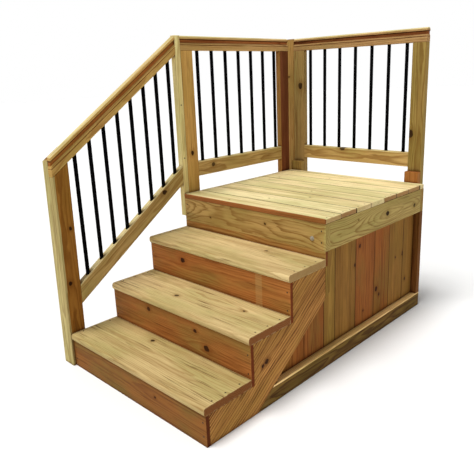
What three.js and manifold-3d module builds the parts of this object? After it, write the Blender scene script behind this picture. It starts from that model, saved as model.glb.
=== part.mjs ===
// Spa steps: a three-tread wooden flight that climbs to a square platform. A railing follows the flight on
// its left side, and two more railings guard the platform's left and back edges.
//
// Millimetres, +Z up. The flight climbs towards +Y and its right side faces +X. The model is built with X
// = 0 in the middle of the flight and Y = 0 at the front face of the lowest riser, and is then moved so
// that the origin is at the centre of the bottom of its bounding box.
import * as THREE from 'three';
import { mergeVertices } from 'three/addons/utils/BufferGeometryUtils.js';
import Module from 'manifold-3d';

const wasm = await Module();
wasm.setup();

// Driving dimensions: the flight.
const WIDTH = 1040;
const TREADS = 3;
const FIRST_RISE = 186;
const RISE = 203;
const RUN = 277;
const NOSING = 9;
const TREAD_THICKNESS = 38;
const NOSE_RADIUS = 14;
const RISER_THICKNESS = 19;
const STRINGER_FOOT = 306;

// Driving dimensions: the platform.
const LUMBER = 38;
const BOARD = 19;
const STUD_WIDTH = 89;
const PLATFORM_DEPTH = 1030;
const DECK_THICKNESS = 26;
const DECK_OVERHANG = 5;
const DECK_BOARD = 140.7;
const DECK_BOARDS = 8;
const RIM_HEIGHT = 140;
const SKIRT_BOARD = 168;
const SKIRT_CORNER_BOARD = 100;
const SKIRT_WIDE_BOARD = 196;
const SKIRT_CLEARANCE = 12;
const GROOVE = 4;

// Driving dimensions: the railings.
const RAIL_HEIGHT = 914;
const HANDRAIL_DEPTH = 82;
const RAIL_CLEARANCE = 90;
const POST_OVERLAP = 138;
const STAIR_RAIL_SLOPE = 0.7;
const STAIR_RAIL_DEPTH = 104;
const STAIR_RAIL_SPACING = 746;
const NEWEL_PROUD = 16;
const SIDE_POST_SETBACK = 39;
const SIDE_PANEL = 976;
const BACK_POST_INSET = 8;
const BACK_PANEL = 988;
const BLOCK_RISE = 66;
const BALUSTER_RADIUS = 10.5;
const BALUSTER_SIDES = 16;
const SIDE_BALUSTERS = 7;
const SIDE_BALUSTER_START = 180;
const SIDE_BALUSTER_PITCH = 117.2;
const BACK_BALUSTERS = 7;
const BACK_BALUSTER_INSET = 44;
const STAIR_BALUSTERS = 8;
const STAIR_BALUSTER_START = 141;
const STAIR_BALUSTER_PITCH = 91.6;
const SOCKET_DEPTH = 20;
const GAP = 0.3;
const NEWEL_DROP = 30;
const NEWEL_LEAN = 0.017;

// The handrail's section: half widths as shares of half its thickness, and heights as shares of its depth.
const NECK_WIDTH = 0.62;
const BULB_WIDTH = 0.96;
const BODY_TOP = 0.43;
const NECK_BASE = 0.53;
const NECK_TOP = 0.71;
const BULB_BASE = 0.75;
const BULB_SHOULDER = 0.82;

// Points of a geometry that lie closer together than this are one point.
const WELD_DISTANCE = 1e-4;

// Worked out from the driving dimensions.
const RIGHT = WIDTH / 2;
const LEFT = -RIGHT;
const PLATFORM_FRONT = TREADS * RUN;
const PLATFORM_BACK = PLATFORM_FRONT + PLATFORM_DEPTH;
const RIM_BEHIND = PLATFORM_FRONT + LUMBER;
const DECK_TOP = FIRST_RISE + TREADS * RISE;
const RIM_TOP = DECK_TOP - DECK_THICKNESS;
const RIM_BOTTOM = RIM_TOP - RIM_HEIGHT;
const RAIL_TOP = DECK_TOP + RAIL_HEIGHT;
const HANDRAIL_UNDER = RAIL_TOP - HANDRAIL_DEPTH;
const LOW_RAIL_UNDER = DECK_TOP + RAIL_CLEARANCE;
const LOW_RAIL_OVER = LOW_RAIL_UNDER + STUD_WIDTH;
const POST_FOOT = DECK_TOP - POST_OVERLAP;
const FLIGHT_SLOPE = RISE / RUN;

function woodMaterial(color, roughness) {
  return new THREE.MeshStandardMaterial({ color, roughness, metalness: 0 });
}

const TREAD_WOOD = woodMaterial(0xcdb07c, 0.7);
const RISER_WOOD = woodMaterial(0x8f5a30, 0.72);
const DECK_WOOD = woodMaterial(0xd6c085, 0.7);
const FRAME_WOOD = woodMaterial(0x94703a, 0.75);
const SKIRT_WOOD = woodMaterial(0x86562f, 0.75);
const POST_WOOD = woodMaterial(0xa67c3e, 0.72);
const RAIL_WOOD = woodMaterial(0x9c7040, 0.72);
const BALUSTER_BLACK = new THREE.MeshStandardMaterial({ color: 0x0a0a0c, roughness: 0.5, metalness: 0.4 });

const assembly = new THREE.Group();

function addPart(name, geometry, material) {
  const mesh = new THREE.Mesh(geometry, material);
  mesh.name = name;
  assembly.add(mesh);
}

// A board that fills the spans x, y and z, each given as [low, high].
function board(x, y, z) {
  const geometry = new THREE.BoxGeometry(x[1] - x[0], y[1] - y[0], z[1] - z[0]);
  return geometry.translate((x[0] + x[1]) / 2, (y[0] + y[1]) / 2, (z[0] + z[1]) / 2);
}

function outline(points) {
  return new THREE.Shape(points.map(([u, v]) => new THREE.Vector2(u, v)));
}

function prism(shape, depth) {
  return new THREE.ExtrudeGeometry(shape, { depth, bevelEnabled: false, curveSegments: 6 });
}

// An outline drawn in Y and Z, swept along the span x.
function sweepAlongX(shape, x) {
  const geometry = prism(shape, x[1] - x[0]);
  const axes = new THREE.Matrix4();
  axes.makeBasis(new THREE.Vector3(0, 1, 0), new THREE.Vector3(0, 0, 1), new THREE.Vector3(1, 0, 0));
  return geometry.applyMatrix4(axes).translate(x[0], 0, 0);
}

// An outline drawn in X and Z and symmetric about X = 0, swept along the span y.
function sweepAlongY(shape, y) {
  const geometry = prism(shape, y[1] - y[0]);
  const axes = new THREE.Matrix4();
  axes.makeBasis(new THREE.Vector3(-1, 0, 0), new THREE.Vector3(0, 0, 1), new THREE.Vector3(0, 1, 0));
  return geometry.applyMatrix4(axes).translate(0, y[0], 0);
}

// Moves each point of a level piece up by the stair railing's rise at its y.
function followStair(geometry) {
  const shear = new THREE.Matrix4();
  shear.set(1, 0, 0, 0, 0, 1, 0, 0, 0, STAIR_RAIL_SLOPE, 1, 0, 0, 0, 0, 1);
  return geometry.applyMatrix4(shear);
}

function toSolid(geometry) {
  const bare = geometry.clone();
  bare.deleteAttribute('normal');
  bare.deleteAttribute('uv');
  const welded = mergeVertices(bare, WELD_DISTANCE);
  const mesh = new wasm.Mesh({
    numProp: 3,
    vertProperties: new Float32Array(welded.attributes.position.array),
    triVerts: new Uint32Array(welded.index.array),
  });
  return new wasm.Manifold(mesh);
}

// Cuts the tools' shapes out of a closed geometry.
function cut(geometry, tools) {
  let solid = toSolid(geometry);
  for (const tool of tools) {
    solid = solid.subtract(toSolid(tool));
  }
  const mesh = solid.getMesh();
  const result = new THREE.BufferGeometry();
  result.setAttribute('position', new THREE.BufferAttribute(new Float32Array(mesh.vertProperties), 3));
  result.setIndex(new THREE.BufferAttribute(new Uint32Array(mesh.triVerts), 1));
  const flat = result.toNonIndexed();
  flat.computeVertexNormals();
  return flat;
}

// An upright rod whose axis stands at [x, y] and which fills the span z.
function rod(radius, [x, y], z) {
  const geometry = new THREE.CylinderGeometry(radius, radius, z[1] - z[0], BALUSTER_SIDES);
  return geometry.rotateX(Math.PI / 2).translate(x, y, (z[0] + z[1]) / 2);
}

// The flight: treads, risers and stringers ------------------------------------------------------------

// The top of a step, counted from 1. The step after the last tread is the deck.
function stepTop(step) {
  return FIRST_RISE + (step - 1) * RISE;
}

function treadUnder(step) {
  return stepTop(step) - TREAD_THICKNESS;
}

function treadGeometry(step) {
  const front = (step - 1) * RUN - NOSING;
  const back = step * RUN;
  const top = stepTop(step);
  const bottom = treadUnder(step);
  const shape = new THREE.Shape();
  shape.moveTo(back, bottom);
  shape.lineTo(back, top);
  shape.lineTo(front + NOSE_RADIUS, top);
  shape.absarc(front + NOSE_RADIUS, top - NOSE_RADIUS, NOSE_RADIUS, Math.PI / 2, Math.PI, false);
  shape.lineTo(front, bottom + NOSE_RADIUS);
  shape.absarc(front + NOSE_RADIUS, bottom + NOSE_RADIUS, NOSE_RADIUS, Math.PI, 1.5 * Math.PI, false);
  return sweepAlongX(shape, [LEFT, RIGHT]);
}

// A riser stands behind the tread below it and carries the front of the tread above it.
function riserGeometry(step) {
  const front = (step - 1) * RUN;
  const bottom = step === 1 ? 0 : treadUnder(step - 1);
  const top = step > TREADS ? RIM_BOTTOM : treadUnder(step);
  return board([LEFT, RIGHT], [front, front + RISER_THICKNESS], [bottom, top]);
}

// A sawtooth beam: a notch for each tread on top, a straight sloping underside and a plumb back end that
// stands under the platform's front rim.
function stringerShape() {
  const points = [[RISER_THICKNESS, 0]];
  for (let step = 1; step <= TREADS; step += 1) {
    const front = (step - 1) * RUN + RISER_THICKNESS;
    points.push([front, treadUnder(step)], [front + RUN, treadUnder(step)]);
  }
  points.push([PLATFORM_FRONT + RISER_THICKNESS, RIM_BOTTOM], [RIM_BEHIND, RIM_BOTTOM]);
  points.push([RIM_BEHIND, (RIM_BEHIND - STRINGER_FOOT) * FLIGHT_SLOPE], [STRINGER_FOOT, 0]);
  return outline(points);
}

for (let step = 1; step <= TREADS; step += 1) {
  addPart(`tread_${step}`, treadGeometry(step), TREAD_WOOD);
}
for (let step = 1; step <= TREADS + 1; step += 1) {
  addPart(`riser_${step}`, riserGeometry(step), RISER_WOOD);
}

// The platform: deck, rims, legs, studs, plates and skirting ------------------------------------------

// The deck boards lie tight against each other, so the deck is one solid with a V-groove along each joint.
function deckGeometry() {
  const front = PLATFORM_FRONT - DECK_OVERHANG;
  const points = [[front, RIM_TOP], [PLATFORM_BACK, RIM_TOP], [PLATFORM_BACK, DECK_TOP]];
  for (let joint = DECK_BOARDS - 1; joint > 0; joint -= 1) {
    const y = front + joint * DECK_BOARD;
    points.push([y + GROOVE / 2, DECK_TOP], [y, DECK_TOP - GROOVE], [y - GROOVE / 2, DECK_TOP]);
  }
  points.push([front, DECK_TOP]);
  return sweepAlongX(outline(points), [LEFT, RIGHT]);
}

// The bottom plate starts under the stringer's sloping edge.
function sidePlateShape() {
  const front = STRINGER_FOOT + GAP;
  return outline([
    [front, 0],
    [PLATFORM_BACK, 0],
    [PLATFORM_BACK, STUD_WIDTH],
    [front + STUD_WIDTH / FLIGHT_SLOPE, STUD_WIDTH],
  ]);
}

// Where the skirting boards meet. Behind the front rim come a narrow corner board, two wide boards and plain
// ones; in front of it, under the stringer, they are all plain.
function skirtSeams(front, back) {
  const seams = row(Math.ceil((RIM_BEHIND - front) / SKIRT_BOARD), RIM_BEHIND, -SKIRT_BOARD);
  seams.push(...row(2, RIM_BEHIND + SKIRT_CORNER_BOARD, SKIRT_WIDE_BOARD));
  const firstPlain = RIM_BEHIND + SKIRT_CORNER_BOARD + 2 * SKIRT_WIDE_BOARD;
  seams.push(...row(Math.ceil((back - firstPlain) / SKIRT_BOARD), firstPlain, SKIRT_BOARD));
  return seams;
}

// A side's skirting: tight upright boards with a V-groove at each joint. It lies behind the rim, the
// bottom plate and the stringer's lower edge, and reaches forward into the triangle under the stringer.
function skirtGeometry(x, outer) {
  const back = PLATFORM_BACK - LUMBER;
  const front = STRINGER_FOOT;
  const stringerEdge = (y) => (y - STRINGER_FOOT) * FLIGHT_SLOPE + STUD_WIDTH;
  const shape = outline([
    [front, SKIRT_CLEARANCE],
    [back, SKIRT_CLEARANCE],
    [back, RIM_TOP],
    [RIM_BEHIND, RIM_TOP],
    [RIM_BEHIND, stringerEdge(RIM_BEHIND)],
    [front, stringerEdge(front)],
  ]);
  const grooves = skirtSeams(front, back).map((y) => {
    const groove = new THREE.BoxGeometry(GROOVE, GROOVE, 2 * RIM_TOP).rotateZ(Math.PI / 4);
    return groove.translate(outer, y, RIM_TOP / 2);
  });
  return cut(sweepAlongX(shape, x), grooves);
}

const backLumber = [PLATFORM_BACK - LUMBER, PLATFORM_BACK];
const betweenRims = [RIM_BEHIND, PLATFORM_BACK - LUMBER];
const rimZ = [RIM_BOTTOM, RIM_TOP];
addPart('deck', deckGeometry(), DECK_WOOD);
addPart('rim_front', board([LEFT, RIGHT], [PLATFORM_FRONT, RIM_BEHIND], rimZ), FRAME_WOOD);
addPart('rim_back', board([LEFT, RIGHT], backLumber, rimZ), FRAME_WOOD);
addPart('plate_back', board([LEFT + LUMBER, RIGHT - LUMBER], backLumber, [0, STUD_WIDTH]), FRAME_WOOD);

// What both sides have. Each span runs inwards from the flight's side.
for (const [side, sign] of [['left', -1], ['right', 1]]) {
  const span = (near, far) => [sign * (RIGHT - near), sign * (RIGHT - far)].sort((a, b) => a - b);
  const legY = [RIM_BEHIND, RIM_BEHIND + STUD_WIDTH];
  const skirtX = span(LUMBER, LUMBER + BOARD);
  addPart(`stringer_${side}`, sweepAlongX(stringerShape(), span(0, LUMBER)), FRAME_WOOD);
  addPart(`rim_${side}`, board(span(0, LUMBER), betweenRims, rimZ), FRAME_WOOD);
  addPart(`leg_${side}`, board(span(LUMBER + BOARD, 2 * LUMBER + BOARD), legY, [0, RIM_TOP]), FRAME_WOOD);
  addPart(`stud_${side}`, board(span(0, STUD_WIDTH), backLumber, [STUD_WIDTH, RIM_BOTTOM]), SKIRT_WOOD);
  addPart(`plate_${side}`, sweepAlongX(sidePlateShape(), span(0, LUMBER)), FRAME_WOOD);
  addPart(`skirt_${side}`, skirtGeometry(skirtX, sign * (RIGHT - LUMBER)), SKIRT_WOOD);
}

// Handrails, low rails and balusters ------------------------------------------------------------------

// The handrail's section, standing on v = 0: a plain body, a sloping ledge, a finger groove on each side,
// and a bulb with a round top.
function handrailShape(height) {
  const half = LUMBER / 2;
  const neck = NECK_WIDTH * half;
  const bulb = BULB_WIDTH * half;
  const body = [[half, 0], [half, BODY_TOP * height], [neck, NECK_BASE * height]];
  const head = [[neck, NECK_TOP * height], [bulb, BULB_BASE * height], [bulb, BULB_SHOULDER * height]];
  const side = [...body, ...head];
  const shape = outline(side);
  const shoulder = BULB_SHOULDER * height;
  shape.absellipse(0, shoulder, bulb, height - shoulder, 0, Math.PI, false, 0);
  for (const [u, v] of side.reverse()) {
    shape.lineTo(-u, v);
  }
  return shape;
}

function lowRailShape(height) {
  const half = LUMBER / 2;
  return outline([[-half, 0], [half, 0], [half, height], [-half, height]]);
}

// The places of evenly spaced balusters along one line.
function row(count, start, pitch) {
  return Array.from({ length: count }, (_, index) => start + index * pitch);
}

// The blind holes that balusters sit in: up is true for holes in the rail's top.
function sockets(places, faceAt, up) {
  return places.map((place) => {
    const face = faceAt(place);
    const far = up ? face + 2 * STUD_WIDTH : face - 2 * STUD_WIDTH;
    const end = up ? face - SOCKET_DEPTH : face + SOCKET_DEPTH;
    return rod(BALUSTER_RADIUS + GAP, place, [Math.min(end, far), Math.max(end, far)]);
  });
}

function addBalusters(railing, places, lowFaceAt, highFaceAt) {
  places.forEach((place, index) => {
    const z = [lowFaceAt(place) - SOCKET_DEPTH + GAP, highFaceAt(place) + SOCKET_DEPTH - GAP];
    addPart(`${railing}_baluster_${index + 1}`, rod(BALUSTER_RADIUS, place, z), BALUSTER_BLACK);
  });
}

const handrailUnder = () => HANDRAIL_UNDER;
const lowRailOver = () => LOW_RAIL_OVER;
const postZ = [POST_FOOT, HANDRAIL_UNDER];

// The left railing: two posts on the outside of the left rim.
const sideX = [LEFT - LUMBER, LEFT];
const sideMiddle = (sideX[0] + sideX[1]) / 2;
const sideFront = PLATFORM_FRONT + SIDE_POST_SETBACK;
const sideY = [sideFront, sideFront + SIDE_PANEL];
const sideInside = [sideY[0] + STUD_WIDTH, sideY[1] - STUD_WIDTH];
const sideStart = PLATFORM_FRONT + SIDE_BALUSTER_START;
const sidePlaces = row(SIDE_BALUSTERS, sideStart, SIDE_BALUSTER_PITCH).map((y) => [sideMiddle, y]);
addPart('side_post_front', board(sideX, [sideY[0], sideInside[0]], postZ), POST_WOOD);
addPart('side_post_back', board(sideX, [sideInside[1], sideY[1]], postZ), POST_WOOD);
const sideHandrail = sweepAlongY(handrailShape(HANDRAIL_DEPTH), sideY);
sideHandrail.translate(sideMiddle, 0, HANDRAIL_UNDER);
addPart('side_top_rail', cut(sideHandrail, sockets(sidePlaces, handrailUnder, false)), RAIL_WOOD);
const sideLowRail = board(sideX, sideInside, [LOW_RAIL_UNDER, LOW_RAIL_OVER]);
addPart('side_bottom_rail', cut(sideLowRail, sockets(sidePlaces, lowRailOver, true)), RAIL_WOOD);
addBalusters('side', sidePlaces, lowRailOver, handrailUnder);

// The back railing: two posts held off the back rim by spacer blocks, and a corner post beside the left
// one.
const backX = [LEFT + BACK_POST_INSET, LEFT + BACK_POST_INSET + BACK_PANEL];
const backY = [PLATFORM_BACK + LUMBER, PLATFORM_BACK + 2 * LUMBER];
const backMiddle = (backY[0] + backY[1]) / 2;
const backInside = [backX[0] + STUD_WIDTH, backX[1] - STUD_WIDTH];
const backStart = backInside[0] + BACK_BALUSTER_INSET;
const backPitch = (backInside[1] - BACK_BALUSTER_INSET - backStart) / (BACK_BALUSTERS - 1);
const backPlaces = row(BACK_BALUSTERS, backStart, backPitch).map((x) => [x, backMiddle]);
for (const [side, x] of [['left', [backX[0], backInside[0]]], ['right', [backInside[1], backX[1]]]]) {
  addPart(`back_post_${side}`, board(x, backY, postZ), POST_WOOD);
  const blockZ = [POST_FOOT, DECK_TOP + BLOCK_RISE];
  addPart(`block_${side}`, board(x, [PLATFORM_BACK, backY[0]], blockZ), POST_WOOD);
}
const cornerX = [backX[0] - STUD_WIDTH, backX[0]];
addPart('corner_post', board(cornerX, backY, [POST_FOOT, RAIL_TOP]), POST_WOOD);
const backHandrail = sweepAlongY(handrailShape(HANDRAIL_DEPTH), backX).rotateZ(-Math.PI / 2);
backHandrail.translate(0, backMiddle, HANDRAIL_UNDER);
addPart('back_top_rail', cut(backHandrail, sockets(backPlaces, handrailUnder, false)), RAIL_WOOD);
const backLowRail = board(backInside, backY, [LOW_RAIL_UNDER, LOW_RAIL_OVER]);
addPart('back_bottom_rail', cut(backLowRail, sockets(backPlaces, lowRailOver, true)), RAIL_WOOD);
addBalusters('back', backPlaces, lowRailOver, handrailUnder);

// The stair railing, in the left railing's plane. It runs from a newel on the ground to an upper post in
// front of the left railing. Heights are those of the sloping lines at y = 0.
const stairY = [-NEWEL_PROUD, PLATFORM_FRONT];
const newelBack = stairY[0] + STUD_WIDTH;
const stairUnder = RAIL_TOP - STAIR_RAIL_DEPTH - PLATFORM_FRONT * STAIR_RAIL_SLOPE;
const stairLowUnder = stairUnder - STAIR_RAIL_SPACING;
const stairUnderAt = ([, y]) => stairUnder + y * STAIR_RAIL_SLOPE;
const stairLowOverAt = ([, y]) => stairLowUnder + STAIR_RAIL_DEPTH + y * STAIR_RAIL_SLOPE;
const stairRow = row(STAIR_BALUSTERS, STAIR_BALUSTER_START, STAIR_BALUSTER_PITCH);
const stairPlaces = stairRow.map((y) => [sideMiddle, y]);
addPart('stair_post', board(sideX, [PLATFORM_FRONT, RIM_BEHIND], [POST_FOOT, RAIL_TOP]), POST_WOOD);
addBalusters('stair', stairPlaces, stairLowOverAt, stairUnderAt);

// The newel leans back a little. Its inner part carries the handrail, and its outer part rises beside the
// handrail, not quite to its top.
const newelX = [LEFT - STUD_WIDTH, LEFT];
const lean = new THREE.Matrix4().set(1, 0, 0, 0, 0, 1, NEWEL_LEAN, 0, 0, 0, 1, 0, 0, 0, 0, 1);
const newelBlock = () => board(newelX, [stairY[0], newelBack], [0, RAIL_TOP]).applyMatrix4(lean);
const cutY = [stairY[0] - RUN, newelBack + RUN];
const aboveNewel = followStair(board([newelX[0] - RUN, newelX[1] + RUN], cutY, [0, RAIL_TOP]));
aboveNewel.translate(0, 0, stairUnder + STAIR_RAIL_DEPTH - NEWEL_DROP);
const railSeat = followStair(board([sideX[0] - GAP, sideX[1] + RUN], cutY, [-GAP, RAIL_TOP]));
railSeat.translate(0, 0, stairUnder);
addPart('newel', cut(newelBlock(), [aboveNewel, railSeat]), POST_WOOD);

// The handrail ends flush with the newel's front, and the low rail butts against the newel's back.
const handrailY = [stairY[0] + stairUnder * NEWEL_LEAN, stairY[1]];
const stairHandrail = followStair(sweepAlongY(handrailShape(STAIR_RAIL_DEPTH), handrailY));
stairHandrail.translate(sideMiddle, 0, stairUnder);
addPart('stair_top_rail', cut(stairHandrail, sockets(stairPlaces, stairUnderAt, false)), RAIL_WOOD);
const stairLowRail = followStair(sweepAlongY(lowRailShape(STAIR_RAIL_DEPTH), [newelBack, stairY[1]]));
stairLowRail.translate(sideMiddle, 0, stairLowUnder);
const lowRailCuts = [...sockets(stairPlaces, stairLowOverAt, true), newelBlock().translate(0, GAP, 0)];
addPart('stair_bottom_rail', cut(stairLowRail, lowRailCuts), RAIL_WOOD);

// The origin goes to the centre of the bottom of the bounding box.
assembly.position.set(-(newelX[0] + RIGHT) / 2, -(stairY[0] + backY[1]) / 2, 0);

export default assembly;
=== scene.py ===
"""Wooden spa steps: a flight of bullnosed treads, a skirted platform and three railings.

Metres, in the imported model's frame: +Z up, +Y the way the flight climbs, +X towards the platform's open
side. Most lumber keeps its CAD shape and gets rounded edges and its own solid grain. The deck and the
skirting become separate boards, each stringer becomes two pieces, and the handrails and balusters are made
again with finer sections.
"""

import math
import random

import bmesh
import bpy
from mathutils import Matrix, Vector


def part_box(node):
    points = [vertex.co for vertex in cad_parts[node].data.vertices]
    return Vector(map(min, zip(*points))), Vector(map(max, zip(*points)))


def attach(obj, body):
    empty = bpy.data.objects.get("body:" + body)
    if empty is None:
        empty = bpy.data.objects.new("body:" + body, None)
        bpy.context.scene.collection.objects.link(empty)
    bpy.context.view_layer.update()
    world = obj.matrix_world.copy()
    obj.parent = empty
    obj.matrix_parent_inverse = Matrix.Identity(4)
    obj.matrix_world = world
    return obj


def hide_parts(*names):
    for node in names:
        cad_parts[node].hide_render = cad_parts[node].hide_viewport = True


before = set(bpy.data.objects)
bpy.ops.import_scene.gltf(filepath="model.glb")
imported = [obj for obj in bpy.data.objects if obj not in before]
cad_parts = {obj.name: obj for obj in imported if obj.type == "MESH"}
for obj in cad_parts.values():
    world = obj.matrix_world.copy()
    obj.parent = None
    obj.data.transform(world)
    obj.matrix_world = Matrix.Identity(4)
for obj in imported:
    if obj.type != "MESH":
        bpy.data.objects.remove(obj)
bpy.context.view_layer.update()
MM = 0.001


# Camera -----------------------

CAMERA_FROM_CORNER = Vector((1.467, -1.251, 1.477))
CAMERA_YAW = 44.01
CAMERA_PITCH = -15.16
CAMERA_ROLL = -2.13
CAMERA_LENS = 41.26
CAMERA_SHIFT = (-0.0154, -0.0307)


def make_camera():
    """Places the camera from one corner: the lowest riser's front right foot."""
    low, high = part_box("riser_1")
    corner = Vector((high.x, low.y, low.z))
    data = bpy.data.cameras.new("camera")
    data.lens = CAMERA_LENS
    data.shift_x, data.shift_y = CAMERA_SHIFT
    camera = bpy.data.objects.new("camera", data)
    bpy.context.collection.objects.link(camera)
    yaw = Matrix.Rotation(math.radians(CAMERA_YAW), 4, "Z")
    pitch = Matrix.Rotation(math.radians(90 + CAMERA_PITCH), 4, "X")
    roll = Matrix.Rotation(math.radians(CAMERA_ROLL), 4, "Z")
    camera.matrix_world = Matrix.Translation(corner + CAMERA_FROM_CORNER) @ yaw @ pitch @ roll
    bpy.context.scene.camera = camera


make_camera()


# Node helpers -----------------

class Graph:
    """Short calls for building a shader node tree."""

    def __init__(self, tree):
        self.tree = tree

    def node(self, kind, **settings):
        made = self.tree.nodes.new(kind)
        for key, value in settings.items():
            setattr(made, key, value)
        return made

    def feed(self, socket, value):
        if isinstance(value, bpy.types.NodeSocket):
            self.tree.links.new(value, socket)
        else:
            socket.default_value = value

    def math(self, operation, *values, clamp=False):
        made = self.node("ShaderNodeMath", operation=operation, use_clamp=clamp)
        for socket, value in zip(made.inputs, values):
            self.feed(socket, value)
        return made.outputs[0]

    def plus(self, *values, clamp=False):
        return self.math("ADD", *values, clamp=clamp)

    def minus(self, *values, clamp=False):
        return self.math("SUBTRACT", *values, clamp=clamp)

    def times(self, *values, clamp=False):
        return self.math("MULTIPLY", *values, clamp=clamp)

    def vector(self, operation, *values):
        made = self.node("ShaderNodeVectorMath", operation=operation)
        for socket, value in zip(made.inputs, values):
            self.feed(socket, value)
        return made.outputs["Value" if operation in ("DOT_PRODUCT", "LENGTH") else "Vector"]

    def split(self, value):
        made = self.node("ShaderNodeSeparateXYZ")
        self.feed(made.inputs[0], value)
        return made.outputs

    def join(self, x, y, z):
        made = self.node("ShaderNodeCombineXYZ")
        for socket, value in zip(made.inputs, (x, y, z)):
            self.feed(socket, value)
        return made.outputs[0]

    def noise(self, place, stretch=(1, 1, 1), detail=2.0, roughness=0.5, scale=1.0):
        """A noise whose place is first multiplied by stretch."""
        made = self.node("ShaderNodeTexNoise")
        self.feed(made.inputs["Vector"], self.vector("MULTIPLY", place, stretch))
        made.inputs["Scale"].default_value = scale
        made.inputs["Detail"].default_value = detail
        made.inputs["Roughness"].default_value = roughness
        return made.outputs

    def smooth(self, value, low, high, to_low=0.0, to_high=1.0):
        """A smooth step from to_low at low to to_high at high."""
        made = self.node("ShaderNodeMapRange", interpolation_type="SMOOTHSTEP")
        limits = {"From Min": low, "From Max": high, "To Min": to_low, "To Max": to_high}
        for name, number in limits.items():
            made.inputs[name].default_value = number
        self.feed(made.inputs["Value"], value)
        return made.outputs["Result"]

    def bump(self, height, strength, distance):
        made = self.node("ShaderNodeBump")
        made.inputs["Strength"].default_value = strength
        made.inputs["Distance"].default_value = distance
        self.feed(made.inputs["Height"], height)
        return made.outputs["Normal"]

    def mix(self, factor, first, second, blend="MIX"):
        made = self.node("ShaderNodeMix", data_type="RGBA", blend_type=blend)
        self.feed(made.inputs[0], factor)
        self.feed(made.inputs[6], first)
        self.feed(made.inputs[7], second)
        return made.outputs[2]


def linear(red, green, blue):
    """An sRGB colour, 0 to 255, as a linear one."""
    parts = [c / 255 for c in (red, green, blue)]
    return tuple(c / 12.92 if c <= 0.04045 else ((c + 0.055) / 1.055) ** 2.4 for c in parts) + (1.0,)


def new_group(name, inputs, outputs):
    """An empty shader group: its graph, the values that it is given and the sockets that it fills."""
    tree = bpy.data.node_groups.new(name, "ShaderNodeTree")
    for label, kind in inputs:
        tree.interface.new_socket(label, in_out="INPUT", socket_type="NodeSocket" + kind)
    for label, kind in outputs:
        tree.interface.new_socket(label, in_out="OUTPUT", socket_type="NodeSocket" + kind)
    graph = Graph(tree)
    return graph, graph.node("NodeGroupInput").outputs, graph.node("NodeGroupOutput").inputs


def new_material(name):
    """A material, its graph and its shader."""
    material = bpy.data.materials.new(name)
    material.use_nodes = True
    g = Graph(material.node_tree)
    return material, g, g.tree.nodes["Principled BSDF"]


# Wood -------------------------

KNOT_RAGGEDNESS = (14 * MM, 12 * MM, 0)
KNOT_STRETCH = 1.25
KNOT_COLOUR = linear(32, 15, 7)
CHECK_COLOUR = linear(52, 28, 12)
# Painted shade of the gaps between boards, darkening their long edges.
SEAM_SHADE_COLOUR = linear(60, 36, 16)
# Painted shade in corners, joints and under overhangs: its tint, and how far the occlusion looks.
OCCLUSION_SHADE_TINT = linear(140, 100, 76)
OCCLUSION_SHADE_REACH = 22 * MM
SOAKED_TINT = (0.6, 0.30, 0.2, 1.0)


def make_knot_group():
    """One knot through a board: pushes the grain aside around it and adds itself to the mask."""
    inputs = [("Board", "Vector"), ("Along", "Float"), ("Across", "Float"), ("Radius", "Float")]
    inputs += [("Grain", "Vector"), ("Mask", "Float"), ("Halo", "Float")]
    outputs = [("Grain", "Vector"), ("Mask", "Float"), ("Halo", "Float")]
    g, given, out = new_group("knot", inputs, outputs)
    ragged = g.noise(given["Board"], (60, 60, 60), detail=3)["Color"]
    ragged = g.vector("MULTIPLY", g.vector("SUBTRACT", ragged, (0.5, 0.5, 0.5)), KNOT_RAGGEDNESS)
    u, v, _ = g.split(g.vector("ADD", given["Board"], ragged))
    across = g.minus(v, given["Across"])
    long_radius = g.times(given["Radius"], KNOT_STRETCH)
    a = g.math("DIVIDE", g.minus(u, given["Along"]), long_radius)
    b = g.math("DIVIDE", across, given["Radius"])
    squared = g.plus(g.times(a, a), g.times(b, b))
    distance = g.math("SQRT", squared)
    wide = g.plus(g.times(g.times(a, a), 0.22), g.times(b, b))
    falloff = g.math("EXPONENT", g.times(wide, -0.32))
    push = g.times(g.times(across, falloff), -0.8)
    g.feed(out["Grain"], g.vector("ADD", given["Grain"], g.join(0, push, 0)))
    g.feed(out["Mask"], g.math("MAXIMUM", given["Mask"], g.smooth(distance, 0.8, 1.12, 1, 0)))
    g.feed(out["Halo"], g.math("MAXIMUM", given["Halo"], g.smooth(distance, 0.9, 3.2, 1, 0)))
    return g.tree


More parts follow.
